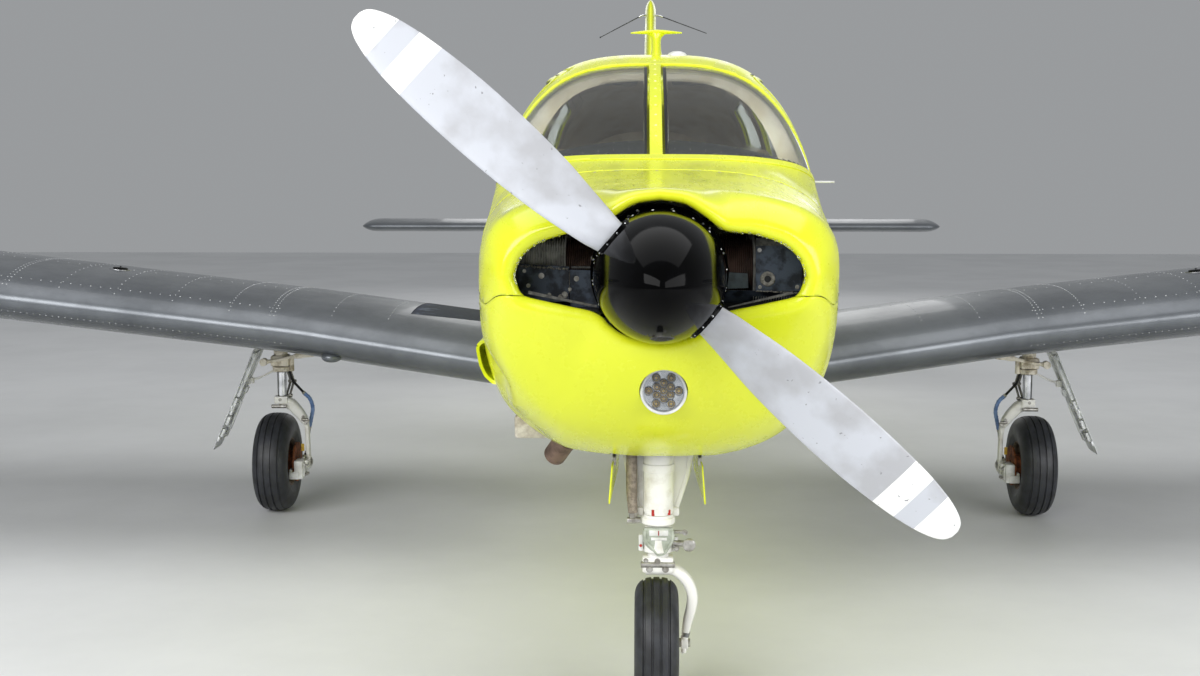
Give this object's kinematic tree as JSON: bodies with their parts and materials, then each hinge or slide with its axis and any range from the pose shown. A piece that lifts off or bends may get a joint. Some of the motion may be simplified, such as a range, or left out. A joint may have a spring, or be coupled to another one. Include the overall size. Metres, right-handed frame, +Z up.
{
  "type": "light aircraft",
  "caption": "Low-wing light aircraft with a cowled piston engine, a spinner and propeller, a glazed cabin, an all-moving tailplane and a retractable nose-wheel undercarriage set down.",
  "frame": {"origin": "on the floor under the middle of the aircraft's bounding box, with the tyres standing on z = 0", "axes": "+Z up, the nose points to -Y, the left wing to +X"},
  "size_m": [9.8, 7.5, 2.465],
  "materials": {
    "yellow_paint": "gloss",
    "silver_paint": "satin",
    "blade_paint": "satin",
    "black_paint": "gloss",
    "gear_paint": "gloss",
    "bare_metal": "satin",
    "cast_iron": "rough",
    "rusty_steel": "rough",
    "glass": "gloss",
    "lamp_glass": "gloss",
    "rubber": "matte",
    "dark_plastic": "matte",
    "leather": "matte"
  },
  "bodies": {
    "airframe": {"upper_cowl": "yellow_paint", "lower_cowl": "yellow_paint", "landing_light": "lamp_glass", "engine": "cast_iron", "left_baffle": "dark_plastic", "right_baffle": "dark_plastic", "exhaust_pipe": "rusty_steel", "firewall": "bare_metal", "cabin_shell": "yellow_paint", "windscreen_post": "yellow_paint", "left_windscreen": "glass", "right_windscreen": "glass", "left_front_window": "glass", "left_middle_window": "glass", "left_rear_window": "glass", "right_middle_window": "glass", "right_rear_window": "glass", "instrument_panel": "dark_plastic", "rear_bench": "leather", "roof_antenna": "yellow_paint", "tail_cone": "yellow_paint", "fin": "yellow_paint", "left_wing": "silver_paint", "right_wing": "silver_paint", "left_main_leg": "gear_paint", "right_main_leg": "gear_paint", "left_main_fork": "gear_paint", "right_main_fork": "gear_paint", "left_main_door": "bare_metal", "right_main_door": "bare_metal", "left_brake_hose": "dark_plastic", "right_brake_hose": "dark_plastic", "left_nose_door": "yellow_paint", "right_nose_door": "yellow_paint", "nose_leg": "gear_paint"},
    "propeller": {"propeller": "blade_paint", "spinner": "black_paint", "spinner_plate": "black_paint"},
    "steered_fork": {"nose_fork": "gear_paint"},
    "nose_wheel": {"nose_rim": "bare_metal", "nose_tyre": "rubber"},
    "left_wheel": {"left_main_rim": "rusty_steel", "left_main_tyre": "rubber"},
    "right_wheel": {"right_main_rim": "rusty_steel", "right_main_tyre": "rubber"},
    "cabin_door": {"cabin_door": "yellow_paint", "door_window": "glass"},
    "luggage_door": {"luggage_door": "yellow_paint"},
    "left_seat": {"left_seat": "leather"},
    "right_seat": {"right_seat": "leather"},
    "left_flap": {"left_flap": "silver_paint"},
    "right_flap": {"right_flap": "silver_paint"},
    "left_aileron": {"left_aileron": "silver_paint"},
    "right_aileron": {"right_aileron": "silver_paint"},
    "rudder": {"rudder": "yellow_paint"},
    "stabilator": {"stabilator": "silver_paint"},
    "stabilator_tab": {"stabilator_tab": "silver_paint"}
  },
  "joints": [
    {"name": "propeller_shaft", "type": "hinge", "parent": "airframe", "child": "propeller", "pos_m": [0, -3.48, 1.24], "axis": [0, 1, 0], "continuous": true},
    {"name": "nose_steering", "type": "hinge", "parent": "airframe", "child": "steered_fork", "pos_m": [0, -2.92, 0.5], "axis": [0, 0, 1], "range_deg": [-30, 30]},
    {"name": "nose_axle", "type": "hinge", "parent": "steered_fork", "child": "nose_wheel", "pos_m": [0, -2.92, 0.18], "axis": [1, 0, 0], "continuous": true},
    {"name": "left_axle", "type": "hinge", "parent": "airframe", "child": "left_wheel", "pos_m": [1.6, -0.53, 0.209], "axis": [1, 0, 0], "continuous": true},
    {"name": "right_axle", "type": "hinge", "parent": "airframe", "child": "right_wheel", "pos_m": [-1.6, -0.53, 0.209], "axis": [1, 0, 0], "continuous": true},
    {"name": "cabin_door_hinge", "type": "hinge", "parent": "airframe", "child": "cabin_door", "pos_m": [-0.55424, -1.648, 1.195], "axis": [0, 0, 1], "range_deg": [0, 70]},
    {"name": "luggage_door_hinge", "type": "hinge", "parent": "airframe", "child": "luggage_door", "pos_m": [-0.49773, 0.22, 1.4], "axis": [0.1163, 0.9932, 0], "range_deg": [0, 90]},
    {"name": "left_seat_rail", "type": "slide", "parent": "airframe", "child": "left_seat", "axis": [0, 1, 0], "range_m": [-0.08, 0.12]},
    {"name": "right_seat_rail", "type": "slide", "parent": "airframe", "child": "right_seat", "axis": [0, 1, 0], "range_m": [-0.08, 0.12]},
    {"name": "left_flap_hinge", "type": "hinge", "parent": "airframe", "child": "left_flap", "pos_m": [1.66, -0.005, 0.84888], "axis": [-0.9934, 0, -0.1149], "range_deg": [0, 40]},
    {"name": "right_flap_hinge", "type": "hinge", "parent": "airframe", "child": "right_flap", "pos_m": [-1.66, -0.005, 0.84888], "axis": [-0.9934, 0, 0.1149], "range_deg": [0, 40]},
    {"name": "left_aileron_hinge", "type": "hinge", "parent": "airframe", "child": "left_aileron", "pos_m": [3.65, -0.005, 1.07912], "axis": [-0.9934, 0, -0.1149], "range_deg": [-30, 15]},
    {"name": "right_aileron_hinge", "type": "hinge", "parent": "airframe", "child": "right_aileron", "pos_m": [-3.65, -0.005, 1.07912], "axis": [-0.9934, 0, 0.1149], "range_deg": [-30, 15]},
    {"name": "rudder_hinge", "type": "hinge", "parent": "airframe", "child": "rudder", "pos_m": [0, 3.255, 1.15], "axis": [0, 0.1228, 0.9924], "range_deg": [-27, 27]},
    {"name": "stabilator_pivot", "type": "hinge", "parent": "airframe", "child": "stabilator", "pos_m": [0, 3.02, 1.044], "axis": [1, 0, 0], "range_deg": [-2, 14]},
    {"name": "tab_hinge", "type": "hinge", "parent": "stabilator", "child": "stabilator_tab", "pos_m": [0, 3.46, 1.044], "axis": [1, 0, 0], "range_deg": [-3, 14]}
  ],
  "couplings": [
    {"joint": "right_flap_hinge", "follows": "left_flap_hinge", "ratio": 1},
    {"joint": "tab_hinge", "follows": "stabilator_pivot", "ratio": 0.9},
    {"joint": "nose_steering", "follows": "rudder_hinge", "ratio": -1.1}
  ]
}
